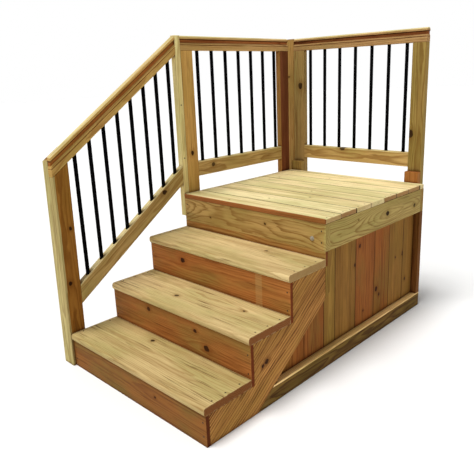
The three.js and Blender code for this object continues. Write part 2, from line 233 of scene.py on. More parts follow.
def make_wood_group():
    """Solid pine: growth rings round a wandering pith that lies outside or inside the board."""
    inputs = [(label, "Vector") for label in ("Board", "Grain", "Pith")]
    inputs += [(label, "Color") for label in ("Light", "Late", "Stain")]
    inputs += [(label, "Float") for label in ("Ring", "Wander", "Seed", "Contrast", "Sharp", "Sawn")]
    inputs += [(label, "Float") for label in ("Checks", "Knot", "Halo", "End", "Edge", "Seam")]
    outputs = [("Color", "Color"), ("Roughness", "Float"), ("Height", "Float")]
    g, given, out = new_group("wood", inputs, outputs)
    shift = g.vector("MULTIPLY", g.join(given["Seed"], given["Seed"], given["Seed"]), (3.17, 7.31, 5.53))
    grain = g.vector("ADD", given["Grain"], shift)
    plain = g.vector("ADD", given["Board"], shift)

    # Rings: the distance from the pith, in ring widths. Each ring darkens towards its late wood.
    slow = g.noise(grain, (1.6, 3.0, 3.0), detail=1.5)["Color"]
    slow = g.split(g.vector("SUBTRACT", slow, (0.5, 0.5, 0.5)))
    ripple = g.noise(grain, (7, 45, 45), detail=3)["Fac"]
    _, v, w = g.split(given["Grain"])
    _, pith_v, pith_w = g.split(given["Pith"])
    dv = g.math("MULTIPLY_ADD", slow[0], given["Wander"], g.minus(v, pith_v))
    dw = g.math("MULTIPLY_ADD", slow[1], given["Wander"], g.minus(w, pith_w))
    radius = g.math("SQRT", g.plus(g.times(dv, dv), g.times(dw, dw)))
    count = g.math("DIVIDE", radius, given["Ring"])
    count = g.plus(count, g.times(ripple, 1.1))
    saw = g.math("FRACT", count)
    late = g.times(g.smooth(saw, 0.30, 0.86), g.smooth(saw, 0.90, 1.0, 1, 0))
    late = g.math("POWER", late, given["Sharp"])
    year = g.node("ShaderNodeTexWhiteNoise", noise_dimensions="1D")
    g.feed(year.inputs["W"], g.plus(g.math("FLOOR", count), given["Seed"]))
    late = g.times(late, g.math("MULTIPLY_ADD", year.outputs["Value"], 0.55, 0.45))

    # Finer and broader marks along the grain, and stained patches.
    fibre = g.noise(grain, (16, 620, 620), detail=2)["Fac"]
    streak = g.noise(grain, (4.5, 110, 110), detail=3, roughness=0.6)["Fac"]
    band = g.noise(grain, (0.9, 26, 26), detail=2)["Fac"]
    blotch = g.noise(plain, (2.6, 7, 7), detail=3)["Fac"]

    tone = g.mix(g.smooth(blotch, 0.36, 0.66), given["Light"], given["Stain"])
    tone = g.mix(g.times(g.smooth(band, 0.42, 0.68), 0.38), tone, given["Late"])
    tone = g.mix(g.times(late, given["Contrast"], clamp=True), tone, given["Late"])
    tone = g.mix(g.times(g.smooth(streak, 0.54, 0.70), 0.55), tone, given["Late"])
    tone = g.mix(g.times(g.smooth(streak, 0.46, 0.32), 0.30), tone, given["Light"])

    # Drying checks come in groups.
    crack = g.noise(grain, (3.6, 190, 190), detail=1.5)["Fac"]
    patch = g.noise(plain, (3.5, 9, 9), detail=2)["Fac"]
    crack = g.times(g.smooth(crack, 0.60, 0.67), g.smooth(patch, 0.46, 0.60))
    crack = g.times(crack, given["Checks"])
    tone = g.mix(g.times(crack, 0.85), tone, g.mix(0.6, given["Late"], CHECK_COLOUR))
    shade = g.math("MULTIPLY_ADD", fibre, 0.34, 0.83)
    tone = g.mix(1.0, tone, g.join(shade, shade, shade), blend="MULTIPLY")

    # Knots, end grain, worn edges, painted shade along the seams and painted shade in corners and joints.
    heart = g.mix(0.9, given["Late"], KNOT_COLOUR)
    tone = g.mix(g.times(given["Halo"], 0.5), tone, given["Late"])
    core = g.times(given["Knot"], g.smooth(ripple, 0.34, 0.62, 0.86, 1.0))
    tone = g.mix(core, tone, heart)
    past_full = g.minus(given["End"], 1.0, clamp=True)
    soaked = g.math("MULTIPLY_ADD", late, 0.5, past_full, clamp=True)
    wet = g.mix(1.0, given["Late"], SOAKED_TINT, blend="MULTIPLY")
    tone = g.mix(g.math("MINIMUM", given["End"], 1.0), tone, g.mix(soaked, given["Late"], wet))
    worn = g.times(given["Edge"], g.smooth(ripple, 0.40, 0.62))
    tone = g.mix(g.times(worn, 0.35), tone, given["Light"])
    # Painted shade along the long edges, for the shadow in the gaps between boards.
    tone = g.mix(given["Seam"], tone, SEAM_SHADE_COLOUR)
    # Painted shade: the colour darkens towards a darker tint where ambient occlusion finds surfaces close
    # by.
    crevice = g.node("ShaderNodeAmbientOcclusion", samples=6)
    crevice.inputs["Distance"].default_value = OCCLUSION_SHADE_REACH
    occlusion_shade = g.smooth(crevice.outputs["AO"], 0.35, 0.98, 0.9, 0.0)
    g.feed(out["Color"], g.mix(occlusion_shade, tone, g.mix(1.0, tone, OCCLUSION_SHADE_TINT, blend="MULTIPLY")))

    # Roughness and height, with the saw's teeth across the board.
    tooth = g.node("ShaderNodeTexWave", wave_type="BANDS", bands_direction="X")
    g.feed(tooth.inputs["Vector"], g.vector("MULTIPLY", plain, (1, 0.22, 0)))
    tooth.inputs["Scale"].default_value = 55
    tooth.inputs["Distortion"].default_value = 1.5
    tooth.inputs["Detail"].default_value = 2
    sawn = g.times(tooth.outputs["Fac"], given["Sawn"])
    rough = g.math("MULTIPLY_ADD", fibre, 0.22, 0.54)
    rough = g.math("MULTIPLY_ADD", late, -0.12, rough)
    g.feed(out["Roughness"], g.math("MULTIPLY_ADD", sawn, 0.12, rough, clamp=True))
    height = g.math("MULTIPLY_ADD", fibre, 0.35, g.times(late, 0.45))
    height = g.math("MULTIPLY_ADD", streak, -0.35, height)
    height = g.math("MULTIPLY_ADD", given["Knot"], 0.5, height)
    height = g.math("MULTIPLY_ADD", crack, -0.9, height)
    g.feed(out["Height"], g.math("MULTIPLY_ADD", sawn, 0.6, height))
    return g.tree


KNOT_GROUP = make_knot_group()
WOOD_GROUP = make_wood_group()


class Tone:
    """A kind of board: its base colour, how strongly its rings show, their spacing in millimetres, how
    rough it was sawn, how many drying checks it has, how deep its grain stands in millimetres, how thin
    the dark part of each ring is, and the colours of that part and of stained patches, as shares of the
    base colour's channels."""

    LIGHT = (1.10, 1.04, 1.0)
    LATE = (0.52, 0.38, 0.26)
    STAIN = (0.84, 0.87, 0.72)

    def __init__(
        self, base, contrast, ring, sawn=0.0, checks=0.6, relief=0.8, sharp=1.0, late=LATE, tint=STAIN
    ):
        self.base = linear(*base)
        self.contrast = contrast
        self.ring = ring * MM
        self.sawn = sawn
        self.checks = checks
        self.relief = relief * MM
        self.sharp = sharp
        self.late = late
        self.tint = tint

    def shades(self, strength):
        """The light, late and stained colours, each channel scaled by strength."""
        rows = (self.LIGHT, self.late, self.tint)
        return [tuple(c * k * m for c, k, m in zip(self.base, row, strength)) + (1.0,) for row in rows]


STREAKY = (0.18, 0.07, 0.04)
OLIVE = (0.78, 1.16, 1.06)
FADED = linear(188, 156, 98)
FADE_BLUR = 4 * MM
FADE_STRENGTH = 0.28
EDGE_WEAR = 7 * MM
WOOD_SPECULAR = 0.05
TONES = {
    "deck": Tone((236, 222, 170), 0.32, 8, checks=0.45),
    "deck_front": Tone((158, 100, 54), 0.6, 6),
    "tread_low": Tone((195, 176, 125), 0.6, 8, checks=1, sharp=1.5),
    "tread": Tone((211, 190, 138), 0.6, 8, checks=1, sharp=1.5),
    "riser_1": Tone((142, 94, 46), 0.7, 9, tint=OLIVE),
    "riser": Tone((168, 109, 56), 0.7, 9, tint=OLIVE),
    "riser_top": Tone((170, 124, 68), 0.7, 9, tint=OLIVE),
    "rim_front": Tone((181, 151, 91), 1, 10, sawn=0.4, sharp=1.6),
    "rim": Tone((178, 158, 96), 1, 10, sawn=0.4, sharp=1.6),
    "stringer": Tone((182, 133, 72), 1, 14, sawn=0.8, checks=2.4, relief=2.5, sharp=2, late=STREAKY),
    "skirt": Tone((148, 109, 51), 0.9, 9),
    "skirt_red": Tone((146, 90, 41), 0.9, 9, tint=OLIVE),
    "skirt_dark": Tone((148, 90, 39), 0.9, 9, tint=OLIVE),
    "skirt_olive": Tone((146, 108, 53), 0.9, 9),
    "corner_board": Tone((152, 118, 56), 0.8, 7.5),
    "plate": Tone((134, 106, 54), 0.9, 8, sawn=0.3, late=STREAKY),
    # A much paler tone for the plates' top faces: painted light on their lit tops.
    "plate_top": Tone((250, 216, 150), 0.5, 7, sawn=0.3),
    "newel": Tone((154, 108, 46), 0.8, 8, sawn=0.2),
    "sap": Tone((189, 177, 122), 0.8, 8, sawn=0.2),
    "post_a": Tone((200, 162, 92), 0.8, 8, sawn=0.2),
    "post_b": Tone((126, 76, 48), 0.7, 7, sawn=0.3),
    "post_b_front": Tone((162, 118, 60), 0.7, 7, sawn=0.3),
    "post_c": Tone((174, 147, 92), 0.9, 9, sawn=0.3),
    "post_d": Tone((166, 141, 80), 0.9, 9, sawn=0.3),
    "stair_post": Tone((238, 224, 160), 0.7, 8, sawn=0.3),
    "corner_post": Tone((171, 136, 78), 0.8, 8, sawn=0.3),
    "block": Tone((172, 116, 62), 0.7, 7, sawn=0.3),
    "rail": Tone((182, 148, 100), 0.8, 7),
    # The side rail is paler than the back rail only to even out light: painted light for the side rail,
    # whose face lies in shade.
    "side_rail": Tone((208, 170, 112), 0.8, 7),
    "stair_rail": Tone((206, 172, 104), 0.8, 7),
    # A paler tone for the rails' top faces: painted light on their lit tops.
    "rail_lit_top": Tone((232, 218, 164), 0.5, 6),
    "rail_low": Tone((194, 166, 106), 0.9, 8, sawn=0.3),
    "stud": Tone((124, 80, 38), 0.75, 7, sawn=0.3),
}


class Board:
    """Where a board lies: its middle, its grain, width and depth directions, and half its size in each."""

    def __init__(self, middle, grain, width, half):
        self.middle = Vector(middle)
        self.grain = Vector(grain).normalized()
        self.width = Vector(width).normalized()
        self.depth = self.grain.cross(self.width)
        self.half = Vector(half)


AXES = {"X": Vector((1, 0, 0)), "Y": Vector((0, 1, 0)), "Z": Vector((0, 0, 1))}


def level_board(low, high, grain, width):
    """A board whose grain and width run along two of the frame's axes, named by letter."""
    half = (Vector(high) - Vector(low)) / 2
    sizes = {"X": half.x, "Y": half.y, "Z": half.z}
    depth = ({"X", "Y", "Z"} - {grain, width}).pop()
    middle = (Vector(low) + Vector(high)) / 2
    return Board(middle, AXES[grain], AXES[width], (sizes[grain], sizes[width], sizes[depth]))


def bend_round_knots(g, where, knots):
    """The grain's coordinates, pushed aside by each knot, and masks of the knots and of their halos."""
    grain, mask, halo = where, 0.0, 0.0
    for along, across, radius in knots:
        knot = g.node("ShaderNodeGroup", node_tree=KNOT_GROUP)
        values = {"Board": where, "Along": along, "Across": across, "Radius": radius}
        values.update({"Grain": grain, "Mask": mask, "Halo": halo})
        for label, value in values.items():
            g.feed(knot.inputs[label], value)
        grain, mask, halo = knot.outputs["Grain"], knot.outputs["Mask"], knot.outputs["Halo"]
    return grain, mask, halo


def mix_skin(g, board, skin, place, where, shades):
    """The shades of a board that has another tone near the face that looks outward."""
    other, outward, depth = skin
    axes = (board.grain, board.width, board.depth)
    half = sum(abs(outward.dot(axis)) * size for axis, size in zip(axes, board.half))
    wobble = g.noise(where, (3, 20, 20), detail=2)["Fac"]
    ahead = g.vector("DOT_PRODUCT", place, tuple(outward))
    reach = g.plus(ahead, g.times(wobble, depth))
    amount = g.smooth(reach, half - depth * 0.6, half - depth * 0.4)
    pairs = zip(shades, TONES[other].shades((1, 1, 1)))
    return [g.mix(amount, first, second) for first, second in pairs]


def paint_band_shade(g, colour, board, across, bands):
    """Darkens stretches of the board's width from end to end with painted shade."""
    for low, high, tint in bands:
        from_low, from_high = [(2 * share - 1) * board.half.y for share in (low, high)]
        above = g.smooth(across, from_low - MM, from_low)
        below = g.smooth(across, from_high, from_high + MM, 1, 0)
        inside = g.times(above, below)
        colour = g.mix(inside, colour, g.mix(1.0, colour, linear(*tint), blend="MULTIPLY"))
    return colour


def fade_strips(g, colour, along, strips):
    """Fades stretches of the board's length from edge to edge."""
    for start, end in strips:
        after = g.smooth(along, start - FADE_BLUR, start + FADE_BLUR)
        before = g.smooth(along, end - FADE_BLUR, end + FADE_BLUR, 1, 0)
        amount = g.times(g.times(after, before), FADE_STRENGTH)
        colour = g.mix(amount, colour, FADED)
    return colour


def wood(
    name, board, tone, knots=(), pith=None, wander=0.05, skin=None, ends=0.6, seam=0.0, bands=(), strips=()
):
    """The wood of one board. Knots are (along, across, radius) from the board's middle, in metres. Pith is
    its place (across, deep) from the middle, and is drawn at random where it isn't given. Wander is how far
    the rings stray. Skin is (tone, outward, depth) for a board that has another tone near one face. Ends is
    how dark its end grain is, up to 2. Seam is how far painted shade, the shadow of the gaps between
    boards, reaches in from its long edges. Bands are (low, high, colour) painted shade along it, between
    two shares of its width. Strips are (start, end) stretches of its length that have faded."""
    chance = random.Random(name)
    kind = TONES[tone]
    material, g, shader = new_material("wood_" + name)
    coordinates = g.node("ShaderNodeTexCoord")
    place = g.vector("SUBTRACT", coordinates.outputs["Object"], tuple(board.middle))
    axes = [tuple(board.grain), tuple(board.width), tuple(board.depth)]
    u, v, w = [g.vector("DOT_PRODUCT", place, axis) for axis in axes]
    where = g.join(u, v, w)
    grain, mask, halo = bend_round_knots(g, where, knots)

    # Of a point's distances from the three pairs of faces, the middle one is its distance from an edge.
    spare = [g.minus(size, g.math("ABSOLUTE", c)) for size, c in zip(board.half, (u, v, w))]
    lower = g.math("MINIMUM", spare[0], spare[1])
    upper = g.math("MAXIMUM", spare[0], spare[1])
    from_edge = g.math("MAXIMUM", lower, g.math("MINIMUM", upper, spare[2]))
    facing = g.math("ABSOLUTE", g.vector("DOT_PRODUCT", coordinates.outputs["Normal"], axes[0]))

    if pith is None:
        pith = (chance.uniform(-0.5, 0.5) * board.half.y, -board.half.z - chance.uniform(0.02, 0.06))
    vary = chance.uniform(0.95, 1.05)
    warm = chance.uniform(0.98, 1.02)
    ring = kind.ring * chance.uniform(0.8, 1.25)
    seed = chance.uniform(0, 40)
    shades = kind.shades((vary * warm, vary, vary / warm))
    if skin:
        shades = mix_skin(g, board, skin, place, where, shades)

    values = {"Board": where, "Grain": grain, "Pith": (0.0, pith[0], pith[1])}
    values.update({"Light": shades[0], "Late": shades[1], "Stain": shades[2]})
    values.update({"Ring": ring, "Wander": wander, "Seed": seed, "Contrast": kind.contrast})
    values.update({"Sharp": kind.sharp, "Sawn": kind.sawn, "Checks": kind.checks})
    values.update({"Knot": mask, "Halo": halo, "End": g.smooth(facing, 0.6, 0.9, 0, ends)})
    values["Edge"] = g.smooth(from_edge, 0.0, EDGE_WEAR, 1, 0)
    # Painted shade reaching in from the long edges.
    if seam:
        values["Seam"] = g.smooth(spare[1], 0.3 * seam, seam, 0.85, 0)
    made = g.node("ShaderNodeGroup", node_tree=WOOD_GROUP)
    for label, value in values.items():
        g.feed(made.inputs[label], value)

    # Painted shade in bands along the board, then the faded strips.
    colour = paint_band_shade(g, made.outputs["Color"], board, v, bands)
    colour = fade_strips(g, colour, u, strips)
    g.feed(shader.inputs["Base Color"], colour)
    g.feed(shader.inputs["Roughness"], made.outputs["Roughness"])
    g.feed(shader.inputs["Normal"], g.bump(made.outputs["Height"], 0.6, kind.relief))
    shader.inputs["Specular IOR Level"].default_value = WOOD_SPECULAR
    return material


# Metal ------------------------

def metal(name, colour, metallic, roughness, mark_colour, mark_share, bump_size, specular=0.5):
    """A coated or plated metal with a fine texture, and marks of another colour over a share of it."""
    material, g, shader = new_material(name)
    place = g.node("ShaderNodeTexCoord").outputs["Object"]
    fine = g.noise(place, detail=2, scale=900)["Fac"]
    broad = g.noise(place, detail=4, roughness=0.6, scale=60)["Fac"]
    marks = g.smooth(broad, 0.72 - mark_share, 0.78 - mark_share)
    g.feed(shader.inputs["Base Color"], g.mix(marks, linear(*colour), linear(*mark_colour)))
    g.feed(shader.inputs["Roughness"], g.math("MULTIPLY_ADD", broad, 0.25, roughness))
    shader.inputs["Metallic"].default_value = metallic
    shader.inputs["Specular IOR Level"].default_value = specular
    g.feed(shader.inputs["Normal"], g.bump(fine, 0.35, bump_size))
    return material


BLACK_COAT = metal("black_coat", (2, 2, 3), 0.0, 0.6, (8, 8, 9), 0.1, bump_size=0.15 * MM, specular=0.04)
GALVANISED = metal("galvanised", (176, 168, 150), 0.8, 0.4, (120, 100, 76), 0.12, bump_size=0.1 * MM)
NAIL_STEEL = metal("nail_steel", (70, 56, 40), 0.6, 0.5, (48, 30, 18), 0.2, bump_size=0.1 * MM)


# Meshes -----------------------

SMOOTH_ANGLE = 35
WELD = 0.01 * MM
LUMBER_ROUND = 2.2 * MM


def add_piece(name, build, material, slot, bevel=0.0, smooth_angle=SMOOTH_ANGLE):
    """Makes a piece from build(bm), rounds its edges and puts it on the root body."""
    bm = bmesh.new()
    build(bm)
    bmesh.ops.recalc_face_normals(bm, faces=bm.faces)
    mesh = bpy.data.meshes.new(name)
    bm.to_mesh(mesh)
    bm.free()
    mesh.materials.append(material)
    piece = bpy.data.objects.new(name, mesh)
    bpy.context.collection.objects.link(piece)
    finish_edges(piece, bevel, smooth_angle)
    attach(piece, "root")
    return piece


def make_edge_group(smooth_angle):
    """Welds a mesh and shades it smooth except at edges sharper than the angle."""
    tree = bpy.data.node_groups.new(f"weld_and_shade_{smooth_angle}", "GeometryNodeTree")
    tree.interface.new_socket("Geometry", in_out="INPUT", socket_type="NodeSocketGeometry")
    tree.interface.new_socket("Geometry", in_out="OUTPUT", socket_type="NodeSocketGeometry")
    g = Graph(tree)
    given = g.node("NodeGroupInput")
    weld = g.node("GeometryNodeMergeByDistance")
    weld.inputs["Distance"].default_value = WELD
    bare = g.node("GeometryNodeRemoveAttribute")
    bare.inputs["Name"].default_value = "custom_normal"
    smooth = g.node("GeometryNodeSetShadeSmooth", domain="FACE")
    angle = g.node("GeometryNodeInputMeshEdgeAngle")
    soft = g.node("FunctionNodeCompare", operation="LESS_THAN")
    soft.inputs[1].default_value = math.radians(smooth_angle)
    edges = g.node("GeometryNodeSetShadeSmooth", domain="EDGE")
    g.feed(weld.inputs["Geometry"], given.outputs[0])
    g.feed(bare.inputs["Geometry"], weld.outputs["Geometry"])
    g.feed(smooth.inputs["Geometry"], bare.outputs["Geometry"])
    g.feed(soft.inputs[0], angle.outputs["Unsigned Angle"])
    g.feed(edges.inputs["Geometry"], smooth.outputs["Geometry"])
    g.feed(edges.inputs["Shade Smooth"], soft.outputs[0])
    g.feed(g.node("NodeGroupOutput").inputs[0], edges.outputs["Geometry"])
    return tree


EDGE_GROUPS = {}


def finish_edges(piece, bevel, smooth_angle=SMOOTH_ANGLE):
    """Welds a piece, shades it and rounds the edges sharper than the angle, in that order."""
    if smooth_angle not in EDGE_GROUPS:
        EDGE_GROUPS[smooth_angle] = make_edge_group(smooth_angle)
    shade = piece.modifiers.new("weld_and_shade", "NODES")
    shade.node_group = EDGE_GROUPS[smooth_angle]
    if bevel:
        rounding = piece.modifiers.new("rounded_edges", "BEVEL")
        rounding.width = bevel
        rounding.segments = 3
        rounding.limit_method = "ANGLE"
        rounding.angle_limit = math.radians(smooth_angle)
        rounding.harden_normals = True


def plank(bm, low, high):
    """Adds a box that fills the space from low to high."""
    middle = (Vector(low) + Vector(high)) / 2
    size = Vector(high) - Vector(low)
    made = bmesh.ops.create_cube(bm, size=1.0)
    stretch = Matrix.Translation(middle) @ Matrix.Diagonal((*size, 1))
    bmesh.ops.transform(bm, verts=made["verts"], matrix=stretch)


def dress(node, board, tone, bevel=LUMBER_ROUND, **grain):
    """Gives a CAD board rounded edges and its wood."""
    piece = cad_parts[node]
    piece.material_slots[0].material = wood(node, board, tone, **grain)
    finish_edges(piece, bevel)


def dress_level(node, grain, width, tone, **more):
    """Dresses a board that fills its node's box, with its grain and width along two named axes."""
    low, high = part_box(node)
    dress(node, level_board(low, high, grain, width), tone, **more)


# The flight -------------------

TREAD_KNOTS = {
    1: [(-0.12, 0.09, 0.010)],
    2: [(-0.095, -0.03, 0.011), (0.31, 0.05, 0.007)],
    3: [(0.2, 0.07, 0.007)],
}
TREAD_ENDS = {1: 1.75, 2: 1.75, 3: 0.85}
TREAD_ROUND = 2.5 * MM
RISER_KNOTS = {
    1: [(0.18, 0.02, 0.006)],
    2: [(-0.207, 0.07, 0.012), (0.233, -0.01, 0.016), (0.157, 0.057, 0.009)],
    3: [(-0.24, 0.05, 0.014)],
    4: [],
}
RISER_STRIPS = {3: [(0.302, 0.345)]}
RISER_ENDS = 1.6
RISER_ROUND = 1.2 * MM
STRINGER_KNOTS = [(-0.10, 0.028, 0.011), (-0.128, 0.022, 0.007)]
STRINGER_PITH = (0.30, -0.10)
STRINGER_HALF_WIDTH = 150 * MM
STRINGER_ENDS = 0.3
STRINGER_ROUND = 2 * MM


def flight_run():
    """How far each step goes forward."""
    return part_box("riser_2")[0].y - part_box("riser_1")[0].y


def flight_rise():
    """How high each step rises."""
    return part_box("tread_2")[1].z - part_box("tread_1")[1].z


def dress_flight():
    for step, knots in TREAD_KNOTS.items():
        tone = "tread_low" if step == 1 else "tread"
        look = {"bevel": TREAD_ROUND, "knots": knots, "wander": 0.07, "ends": TREAD_ENDS[step]}
        dress_level(f"tread_{step}", "X", "Y", tone, **look)
    for step, knots in RISER_KNOTS.items():
        tone = {1: "riser_1", 4: "riser_top"}.get(step, "riser")
        look = {"bevel": RISER_ROUND, "knots": knots, "ends": RISER_ENDS}
        dress_level(f"riser_{step}", "X", "Z", tone, strips=RISER_STRIPS.get(step, ()), **look)
    for side in ("left", "right"):
        split_stringer(side)


def cut_copy(bm, node, place, keep_front):
    """Adds the part of a CAD solid in front of the plane Y = place, or the part behind it."""
    bm.from_mesh(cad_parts[node].data)
    bmesh.ops.remove_doubles(bm, verts=bm.verts, dist=WELD)
    everything = bm.verts[:] + bm.edges[:] + bm.faces[:]
    sides = {"clear_outer": keep_front, "clear_inner": not keep_front}
    bmesh.ops.bisect_plane(bm, geom=everything, plane_co=(0, place, 0), plane_no=(0, 1, 0), **sides)
    open_edges = [edge for edge in bm.edges if len(edge.link_faces) == 1]
    bmesh.ops.holes_fill(bm, edges=open_edges)
    bmesh.ops.dissolve_limit(bm, angle_limit=math.radians(1), verts=bm.verts[:], edges=bm.edges[:])


def split_stringer(side):
    """The stringer becomes a sawtooth beam and an upright hanger board under the platform's front rim."""
    node = f"stringer_{side}"
    low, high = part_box(node)
    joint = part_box("rim_front")[0].y
    climb = Vector((0, flight_run(), flight_rise()))
    half = ((high - low).yz.length / 2, STRINGER_HALF_WIDTH, (high.x - low.x) / 2)
    board = Board((low + high) / 2, climb, climb.cross(AXES["X"]), half)
    look = {"knots": STRINGER_KNOTS, "pith": STRINGER_PITH, "wander": 0.09, "ends": STRINGER_ENDS}
    grain = wood(node + "_beam", board, "stringer", **look)
    build = lambda bm: cut_copy(bm, node, joint - MM, True)
    beam = add_piece(node + "_beam", build, grain, "frame_wood", STRINGER_ROUND)
    board = level_board((low.x, joint, low.z), high, "Z", "Y")
    grain = wood(node + "_hanger", board, "corner_board", ends=STRINGER_ENDS)
    build = lambda bm: cut_copy(bm, node, joint, False)
    hanger = add_piece(node + "_hanger", build, grain, "frame_wood", STRINGER_ROUND)
    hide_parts(node)
    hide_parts(node)


# The platform -----------------

DECK_BOARD = 140.7 * MM
DECK_GAP = 2.0 * MM
DECK_ENDS = (0.9, 1.35, 0.45, 0.15, 1.3, 1.3, 1.2, 0.3)
DECK_INSETS = (0.0, 3.0, 0.4, 1.0, 3.5, 2.6, 3.2, 0.6)
# How far the painted shade of the gaps reaches in from the deck boards' long edges.
DECK_SEAM = 3.2 * MM
DECK_ROUND = 2.5 * MM
DECK_FRONT_SKIN = 6 * MM
DECK_FRONT_ROUND = 5 * MM
SKIRT_BOARD = 168 * MM
SKIRT_CORNER_BOARD = 100 * MM
SKIRT_WIDE_BOARD = 196 * MM
SKIRT_FRONT_HEIGHT = 89 * MM
SKIRT_GAP = 1.6 * MM
SKIRT_SEAM = 3.5 * MM
# How far the painted shade of the gaps reaches in from the skirting boards' long edges.
SKIRT_CHAMFER = 1.5 * MM
SKIRT_TONES = ("skirt_red", "skirt", "skirt_dark", "skirt_red", "corner_board")
SKIRT_TONES += ("skirt", "skirt_red", "skirt_dark", "skirt", "skirt_olive")
# Each knot: metres behind the lowest riser, metres above the ground, and its radius in millimetres.
SKIRT_KNOTS = ((1.696, 0.386, 13), (1.606, 0.384, 6), (1.734, 0.209, 9), (1.389, 0.250, 13))
SKIRT_KNOTS += ((1.422, 0.206, 9), (1.158, 0.462, 8), (1.205, 0.560, 9), (1.25, 0.16, 6))
SKIRT_KNOTS += ((0.60, 0.16, 6), (0.80, 0.32, 5))
RIM_FRONT_KNOTS = [(0.128, 0.01, 0.006), (-0.3, -0.02, 0.005)]
RIM_RIGHT_KNOTS = [(0.08, 0.002, 0.014), (0.40, -0.014, 0.011), (-0.22, 0.03, 0.005)]
RIM_SKIN = 10 * MM
PLATE_LIT_TOP_DEPTH = 8 * MM
JOIST_PLACES = (-0.17, 0.17)


def make_deck():
    """The deck's boards, from front to back. The first has a darker front and a rounder edge."""
    low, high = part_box("deck")
    chance = random.Random("deck")
    front = low.y
    for number, (dark, inset) in enumerate(zip(DECK_ENDS, DECK_INSETS), 1):
        back = min(front + DECK_BOARD, high.y)
        left = low.x + chance.uniform(0, 2.5) * MM
        top = high.z - chance.uniform(0, 0.5) * MM
        first = Vector((left, front + DECK_GAP / 2, low.z))
        last = Vector((high.x - inset * MM, back - DECK_GAP / 2, top))
        knots = [(chance.uniform(-0.45, 0.45), chance.uniform(-0.04, 0.04), chance.uniform(3, 6) * MM)]
        look = {"knots": knots, "wander": 0.06, "ends": dark, "seam": DECK_SEAM}
        bevel = DECK_ROUND
        if number == 1:
            look.update({"skin": ("deck_front", -AXES["Y"], DECK_FRONT_SKIN), "seam": 0.0})
            bevel = DECK_FRONT_ROUND
        name = f"deck_board_{number}"
        material = wood(name, level_board(first, last, "X", "Y"), "deck", **look)
        piece = add_piece(name, lambda bm: plank(bm, first, last), material, "deck_wood", bevel=bevel)
        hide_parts("deck")
        front = back


def clipped_board(bm, low, high, front_top, slope):
    """An upright skirting board whose top starts at front_top and slopes up to at most its full height."""
    corners = [
        (low.y, low.z),
        (high.y, low.z),
        (high.y, min(high.z, front_top + slope * (high.y - low.y))),
        (low.y, min(high.z, front_top)),
    ]
    ring = [bm.verts.new((low.x, y, z)) for y, z in corners]
    face = bm.faces.new(ring)
    swept = bmesh.ops.extrude_face_region(bm, geom=[face])
    moved = [v for v in swept["geom"] if isinstance(v, bmesh.types.BMVert)]
    bmesh.ops.translate(bm, verts=moved, vec=(high.x - low.x, 0, 0))


def skirt_seams(front, back, rim_behind):
    """The edges of the skirting boards, from front to back: plain boards under the stringer, then a
    narrow corner board behind the rim, two wide boards, and plain ones again."""
    edges = []
    edge = rim_behind
    while edge > front:
        edges.insert(0, edge)
        edge -= SKIRT_BOARD
    edges.insert(0, front)
    for width in (SKIRT_CORNER_BOARD, SKIRT_WIDE_BOARD, SKIRT_WIDE_BOARD):
        edges.append(edges[-1] + width)
    while edges[-1] + SKIRT_BOARD < back:
        edges.append(edges[-1] + SKIRT_BOARD)
    edges.append(back)
    return edges


def make_skirt(side):
    """The skirting's boards. In front of the rim's back their tops follow the stringer's edge."""
    low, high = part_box(f"skirt_{side}")
    rim_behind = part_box("rim_front")[1].y
    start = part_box("riser_1")[0].y
    edges = skirt_seams(low.y, high.y, rim_behind)
    for index, (front, back) in enumerate(zip(edges, edges[1:])):
        first = Vector((low.x, front + SKIRT_GAP / 2, low.z))
        last = Vector((high.x, back - SKIRT_GAP / 2, high.z))
        middle = (first + last) / 2
        front_top, slope = high.z, 0.0
        if front < rim_behind - MM:
            slope = flight_rise() / flight_run()
            front_top = SKIRT_FRONT_HEIGHT + slope * (front - low.y)
        knots = []
        for y, z, size in SKIRT_KNOTS:
            if front < y + start < back:
                knots.append((z - middle.z, y + start - middle.y, size * MM))
        name = f"skirt_{side}_board_{index + 1}"
        tone = SKIRT_TONES[index % len(SKIRT_TONES)]
        material = wood(name, level_board(first, last, "Z", "Y"), tone, knots, seam=SKIRT_SEAM)
        build = lambda bm: clipped_board(bm, first, last, front_top, slope)
        piece = add_piece(name, build, material, "skirt_wood", bevel=SKIRT_CHAMFER)
        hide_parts(f"skirt_{side}")


def dress_platform():
    look = {"knots": RIM_FRONT_KNOTS, "wander": 0.15, "skin": ("rim", AXES["X"], RIM_SKIN), "ends": 0.15}
    dress_level("rim_front", "X", "Z", "rim_front", **look)
    dress_level("rim_right", "Y", "Z", "rim", knots=RIM_RIGHT_KNOTS, wander=0.13)
    dress_level("rim_left", "Y", "Z", "rim")
    dress_level("rim_back", "X", "Z", "rim")
    for side in ("left", "right"):
        # The plate's top takes the paler tone: painted light.
        dress_level(f"plate_{side}", "Y", "Z", "plate", skin=("plate_top", AXES["Z"], PLATE_LIT_TOP_DEPTH))
        dress_level(f"leg_{side}", "Z", "Y", "rim")
        dress_level(f"stud_{side}", "Z", "X", "stud")
    dress_level("plate_back", "X", "Z", "plate")


def make_joists():
    """The mid joists that carry the deck between the front and back rims."""
    front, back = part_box("rim_front"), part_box("rim_back")
    thick = front[1].y - front[0].y
    centre = (front[0].x + front[1].x) / 2
    for number, place in enumerate(JOIST_PLACES, 1):
        low = Vector((centre + place - thick / 2, front[1].y + MM / 2, front[0].z))
        high = Vector((centre + place + thick / 2, back[0].y - MM / 2, front[1].z - MM / 2))
        name = f"joist_{number}"
        material = wood(name, level_board(low, high, "Y", "Z"), "rim")
        add_piece(name, lambda bm: plank(bm, low, high), material, "frame_wood", bevel=LUMBER_ROUND)


# The railings -----------------

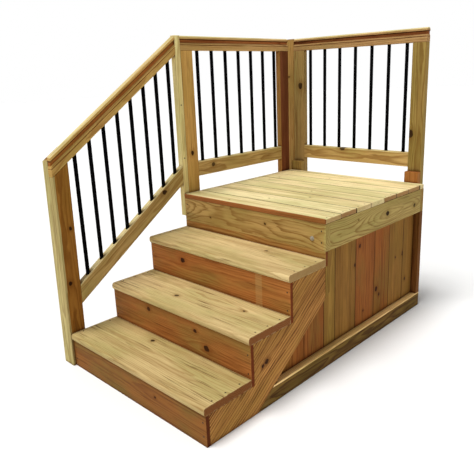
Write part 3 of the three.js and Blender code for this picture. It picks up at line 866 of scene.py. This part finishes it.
# Painted shade in the handrail's grooves, as (low, high, colour) shares of its height: the thin quirk, the
# finger groove above the bead, and the undercut below the bulb, darkest.
RAIL_GROOVE_SHADE = [
    (0.36, 0.395, (190, 160, 140)),
    (0.535, 0.71, (208, 158, 132)),
    (0.715, 0.775, (120, 80, 56)),
]
# How far the painted light on a handrail's top reaches down.
HANDRAIL_LIT_TOP_DEPTH = 8 * MM
HANDRAIL_ROUND = 0.8 * MM
HANDRAIL_SMOOTH_ANGLE = 24
# How far the painted light on a bottom rail's top reaches down.
BOTTOM_RAIL_LIT_TOP_DEPTH = 5 * MM
BALUSTER_SIDES = 40
BALUSTER_EASE = 1.5 * MM
BALUSTER_SMOOTH_ANGLE = 50
NEWEL_LEAN = 0.017
NEWEL_SKIN = 12 * MM
POST_SKIN = 3 * MM


def join_rings(bm, rings):
    """Joins each ring of vertices to the next by faces, and closes both ends."""
    for lower, upper in zip(rings, rings[1:]):
        for k in range(len(lower)):
            after = (k + 1) % len(lower)
            bm.faces.new((lower[k], lower[after], upper[after], upper[k]))
    bm.faces.new(list(reversed(rings[0])))
    bm.faces.new(rings[-1])


def turned(bm, place, outward, profile, sides):
    """A turned shape that points outward from a place: its profile is (radius, height) from its foot."""
    turn = outward.to_track_quat("Z", "Y").to_matrix().to_4x4()
    rings = []
    for radius, height in profile:
        ring = []
        for k in range(sides):
            angle = 2 * math.pi * k / sides
            point = Vector((radius * math.cos(angle), radius * math.sin(angle), height))
            ring.append(bm.verts.new(place + turn @ point))
        rings.append(ring)
    join_rings(bm, rings)


def handrail_profile(half, height):
    """Half of the handrail's section from its bottom corner to its top: a plain body with an eased foot,
    a thin quirk, a bead that slopes in to a finger groove, and a bulb with a round top."""
    ease = 2.5 * MM
    neck = 0.60 * half
    bulb = 0.96 * half
    points = [(half - ease, 0.0), (half, ease), (half, 0.355 * height), (half - 2.2 * MM, 0.375 * height)]
    points += [(half - 0.4 * MM, 0.395 * height), (half, 0.41 * height), (half - 0.5 * MM, 0.435 * height)]
    points += [(neck + 1.5 * MM, 0.515 * height), (neck, 0.54 * height), (neck - 0.8 * MM, 0.60 * height)]
    points += [(neck - 0.8 * MM, 0.68 * height), (neck, 0.72 * height), (bulb - 1.2 * MM, 0.752 * height)]
    points += [(bulb, 0.768 * height), (bulb, 0.81 * height)]
    shoulder = 0.82 * height
    steps = 14
    for k in range(steps):
        angle = k / steps * math.pi / 2
        points.append((bulb * math.cos(angle), shoulder + (height - shoulder) * math.sin(angle)))
    return points


def sweep_profile(bm, half_profile, start, end, across):
    """Sweeps the section from start to end. The section stays plumb, so a sloping rail has plumb ends."""
    full = half_profile + [(-u, v) for u, v in reversed(half_profile)]
    rings = []
    for place in (start, end):
        rings.append([bm.verts.new(place + across * u + Vector((0, 0, v))) for u, v in full])
    join_rings(bm, rings)


def make_handrail(node, start, end, across, half, height, tone):
    """A moulded handrail whose section's bottom middle runs from start to end."""
    along = end - start
    middle = (start + end) / 2 + Vector((0, 0, height / 2))
    square_height = height * along.xy.length / along.length
    board = Board(middle, along, along.cross(across), (along.length / 2, square_height / 2, half))
    # The painted groove shade is measured from the rail's bottom, so it turns over when the width points
    # down.
    top, bands = board.width, RAIL_GROOVE_SHADE
    if board.width.z < 0:
        top = -board.width
        bands = [(1 - high, 1 - low, tint) for low, high, tint in RAIL_GROOVE_SHADE]
    # The rail's top takes the paler tone: painted light.
    look = {"wander": 0.04, "skin": ("rail_lit_top", top, HANDRAIL_LIT_TOP_DEPTH), "ends": 0.1, "bands": bands}
    material = wood("moulded_" + node, board, tone, **look)
    profile = handrail_profile(half, height)
    build = lambda bm: sweep_profile(bm, profile, start, end, across)
    edges = {"bevel": HANDRAIL_ROUND, "smooth_angle": HANDRAIL_SMOOTH_ANGLE}
    piece = add_piece("moulded_" + node, build, material, "rail_wood", **edges)
    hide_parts(node)


def make_handrails():
    low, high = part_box("side_top_rail")
    x = (low.x + high.x) / 2
    half = (high.x - low.x) / 2
    height = high.z - low.z
    start, end = Vector((x, low.y, low.z)), Vector((x, high.y, low.z))
    make_handrail("side_top_rail", start, end, AXES["X"], half, height, "side_rail")
    low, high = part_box("back_top_rail")
    y = (low.y + high.y) / 2
    start, end = Vector((low.x, y, low.z)), Vector((high.x, y, low.z))
    make_handrail("back_top_rail", start, end, -AXES["Y"], half, height, "rail")
    low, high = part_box("stair_top_rail")
    height = stair_rail_height()
    start, end = Vector((x, low.y, low.z)), Vector((x, high.y, high.z - height))
    make_handrail("stair_top_rail", start, end, AXES["X"], half, height, "stair_rail")


def stair_slope():
    """The stair rails' rise over their run. The top and bottom rails are equally deep, so the slope is
    the difference of their rises over the difference of their lengths."""
    top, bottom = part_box("stair_top_rail"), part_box("stair_bottom_rail")
    rise = (top[1].z - top[0].z) - (bottom[1].z - bottom[0].z)
    return rise / ((top[1].y - top[0].y) - (bottom[1].y - bottom[0].y))


def stair_rail_height():
    """The stair rails' upright depth, which is what the slope leaves of the top rail's height."""
    low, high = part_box("stair_top_rail")
    return (high.z - low.z) - stair_slope() * (high.y - low.y)


def make_balusters():
    for node in sorted(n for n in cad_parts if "baluster" in n):
        low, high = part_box(node)
        foot = Vector(((low.x + high.x) / 2, (low.y + high.y) / 2, low.z))
        radius = (high.x - low.x) / 2
        height = high.z - low.z
        profile = [(radius - BALUSTER_EASE, 0.0), (radius, BALUSTER_EASE)]
        profile += [(radius, height - BALUSTER_EASE), (radius - BALUSTER_EASE, height)]
        build = lambda bm: turned(bm, foot, AXES["Z"], profile, BALUSTER_SIDES)
        edges = {"smooth_angle": BALUSTER_SMOOTH_ANGLE}
        piece = add_piece("round_" + node, build, BLACK_COAT, "baluster_black", **edges)
        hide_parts(node)


def dress_newel():
    """The newel leans back, so its grain leans too. Its front is paler sapwood."""
    low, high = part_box("newel")
    lean = Vector((0, NEWEL_LEAN, 1))
    square_width = high.y - low.y - NEWEL_LEAN * (high.z - low.z)
    half = ((high.z - low.z) / 2, square_width / 2, (high.x - low.x) / 2)
    board = Board((low + high) / 2, lean, AXES["X"].cross(lean), half)
    outward = board.width if board.width.y < 0 else -board.width
    knots = [(-0.12, 0.012, 0.010), (0.17, -0.02, 0.008)]
    dress("newel", board, "newel", knots=knots, pith=(0.01, 0.0), skin=("sap", outward, NEWEL_SKIN))


def dress_stair_bottom_rail():
    low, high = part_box("stair_bottom_rail")
    slope = stair_slope()
    along = Vector((0, 1, slope))
    tilt = math.hypot(1, slope)
    half = ((high.y - low.y) / 2 * tilt, stair_rail_height() / 2 / tilt, (high.x - low.x) / 2)
    board = Board((low + high) / 2, along, along.cross(AXES["X"]), half)
    top = board.width if board.width.z > 0 else -board.width
    # The top face takes the paler tone: painted light.
    pale = ("rail_lit_top", top, BOTTOM_RAIL_LIT_TOP_DEPTH)
    dress("stair_bottom_rail", board, "rail_low", knots=[(0.29, -0.02, 0.014)], skin=pale)


def dress_railings():
    dress_newel()
    dress_level("stair_post", "Z", "Y", "stair_post")
    dress_level("side_post_front", "Z", "Y", "post_a", knots=[(-0.109, 0.0, 0.012)], pith=(0.05, -0.05))
    dress_level("side_post_back", "Z", "Y", "post_b", skin=("post_b_front", -AXES["Y"], POST_SKIN))
    dress_level("corner_post", "Z", "X", "corner_post", knots=[(0.27, 0.0, 0.007)])
    dress_level("back_post_left", "Z", "X", "post_c", knots=[(0.247, 0.012, 0.018), (-0.30, -0.02, 0.007)])
    dress_level("back_post_right", "Z", "X", "post_d", knots=[(-0.05, -0.036, 0.02)])
    dress_level("block_left", "Z", "X", "post_d")
    dress_level("block_right", "Z", "X", "block")
    # The top faces take the paler tone: painted light.
    pale = ("rail_lit_top", AXES["Z"], BOTTOM_RAIL_LIT_TOP_DEPTH)
    dress_level("side_bottom_rail", "Y", "Z", "rail_low", knots=[(-0.275, 0.01, 0.013)], skin=pale)
    dress_level("back_bottom_rail", "X", "Z", "rail_low", knots=[(-0.08, 0.040, 0.016)], skin=pale)
    dress_stair_bottom_rail()


# Fasteners --------------------

NAIL_PROFILE = [(4.2 * MM, -4 * MM), (4.2 * MM, 0.1 * MM), (3.6 * MM, 0.35 * MM), (1.2 * MM, 0.45 * MM)]
NAIL_SIDES = 20
NAIL_INSET = 19 * MM
WASHER_PROFILE = [(12 * MM, -1 * MM), (12 * MM, 1.6 * MM), (11.4 * MM, 2.0 * MM), (7 * MM, 2.1 * MM)]
WASHER_SIDES = 32
BOLT_PROFILE = [(7.5 * MM, 1 * MM), (7.5 * MM, 5 * MM), (6.6 * MM, 6.6 * MM), (2 * MM, 7.0 * MM)]
BOLT_SIDES = 6
BOLT_INSET = 82 * MM
BOLT_HEIGHT = 56 * MM
BOLT_ROUND = 0.5 * MM
RIM_NAIL_INSET = 25 * MM
RIM_NAIL_HEIGHTS = (43 * MM, 102 * MM)
RIM_SIDE_NAIL = Vector((-0.5, 87, 93)) * MM
DECK_NAIL_SHARES = (0.28, 0.72)
DECK_NAIL_SINK = 0.6 * MM
TREAD_NAIL_SHARES = (0.22, 0.5, 0.8)
RISER_NAIL_SHARES = (0.3, 0.75)
SCREW_HEIGHTS = (704 * MM, 1009 * MM, 1321 * MM)


def add_nails(name, places):
    """Nail heads that belong together are one piece: places are (point, outward)."""

    def build(bm):
        for place, outward in places:
            turned(bm, Vector(place), outward, NAIL_PROFILE, NAIL_SIDES)

    add_piece(name, build, NAIL_STEEL, "fastener_steel")


def nail_pairs(low, high, rows, outward):
    """Nail places near the left and right ends of a board, at each row's (y, z)."""
    ends = (low.x + NAIL_INSET, high.x - NAIL_INSET)
    return [((x, y, z), outward) for y, z in rows for x in ends]


def add_rim_fasteners():
    """The bolt and nails in the front rim. The last nail is round the corner, in its right end's face."""
    low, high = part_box("rim_front")
    front = -AXES["Y"]
    bolt = Vector((high.x - BOLT_INSET, low.y, low.z + BOLT_HEIGHT))

    def build_bolt(bm):
        turned(bm, bolt, front, WASHER_PROFILE, WASHER_SIDES)
        turned(bm, bolt, front, BOLT_PROFILE, BOLT_SIDES)

    add_piece("rim_bolt", build_bolt, GALVANISED, "fastener_steel", bevel=BOLT_ROUND)
    ends = (high.x - RIM_NAIL_INSET, low.x + NAIL_INSET)
    places = [((x, low.y, low.z + height), front) for x in ends for height in RIM_NAIL_HEIGHTS]
    places.append((Vector((high.x, low.y, low.z)) + RIM_SIDE_NAIL, AXES["X"]))
    add_nails("rim_nails", places)


def make_fasteners():
    front, right, up = -AXES["Y"], AXES["X"], AXES["Z"]
    add_rim_fasteners()

    # The deck's last board is a narrow strip and has no nails.
    low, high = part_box("deck")
    rows = []
    for board in range(len(DECK_ENDS) - 1):
        for share in DECK_NAIL_SHARES:
            rows.append((low.y + (board + share) * DECK_BOARD, high.z - DECK_NAIL_SINK))
    add_nails("deck_nails", nail_pairs(low, high, rows, up))

    places = []
    for step in (1, 2, 3):
        low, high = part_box(f"tread_{step}")
        rows = [(low.y + share * (high.y - low.y), high.z) for share in TREAD_NAIL_SHARES]
        places += nail_pairs(low, high, rows, up)
    add_nails("tread_nails", places)

    low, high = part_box("stair_post")
    middle = (low.y + high.y) / 2
    add_nails("post_screws", [((high.x, middle, height), right) for height in SCREW_HEIGHTS])

    places = []
    for step in (1, 2, 3):
        low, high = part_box(f"riser_{step}")
        rows = [(low.y, low.z + share * (high.z - low.z)) for share in RISER_NAIL_SHARES]
        places += nail_pairs(low, high, rows, front)
    add_nails("riser_nails", places)


# Floor, light and world -------

def make_stage():
    mesh = bpy.data.meshes.new("floor")
    bm = bmesh.new()
    bmesh.ops.create_grid(bm, x_segments=1, y_segments=1, size=40)
    bm.to_mesh(mesh)
    bm.free()
    material, _, shader = new_material("floor")
    shader.inputs["Base Color"].default_value = (0.93, 0.93, 0.92, 1)
    shader.inputs["Roughness"].default_value = 0.9
    mesh.materials.append(material)
    floor = bpy.data.objects.new("floor", mesh)
    bpy.context.collection.objects.link(floor)


def add_sun(name, towards, strength, spread):
    """A distant lamp as wide as spread degrees; towards is the direction from the model to the lamp."""
    data = bpy.data.lights.new(name, "SUN")
    data.energy = strength
    data.angle = math.radians(spread)
    light = bpy.data.objects.new(name, data)
    light.rotation_mode = "QUATERNION"
    light.rotation_quaternion = (-Vector(towards)).to_track_quat("-Z", "Y")
    bpy.context.collection.objects.link(light)


def make_light():
    """An overhead lamp and a white room, brightest near the horizon so that it meets the floor."""
    add_sun("overhead", (-0.10, -0.30, 1.0), 2.8, 24)
    world = bpy.data.worlds.new("studio")
    world.use_nodes = True
    g = Graph(world.node_tree)
    background = g.tree.nodes["Background"]
    direction = g.node("ShaderNodeTexCoord").outputs["Generated"]
    up = g.split(direction)[2]
    g.feed(background.inputs["Color"], (1.0, 1.0, 1.0, 1))
    g.feed(background.inputs["Strength"], g.smooth(up, 0.14, 0.40, 1.0, 0.30))
    bpy.context.scene.world = world
    bpy.context.scene.view_settings.view_transform = "Standard"


dress_flight()
make_deck()
for skirt_side in ("left", "right"):
    make_skirt(skirt_side)
dress_platform()
make_joists()
make_handrails()
make_balusters()
dress_railings()
make_fasteners()
make_stage()
make_light()
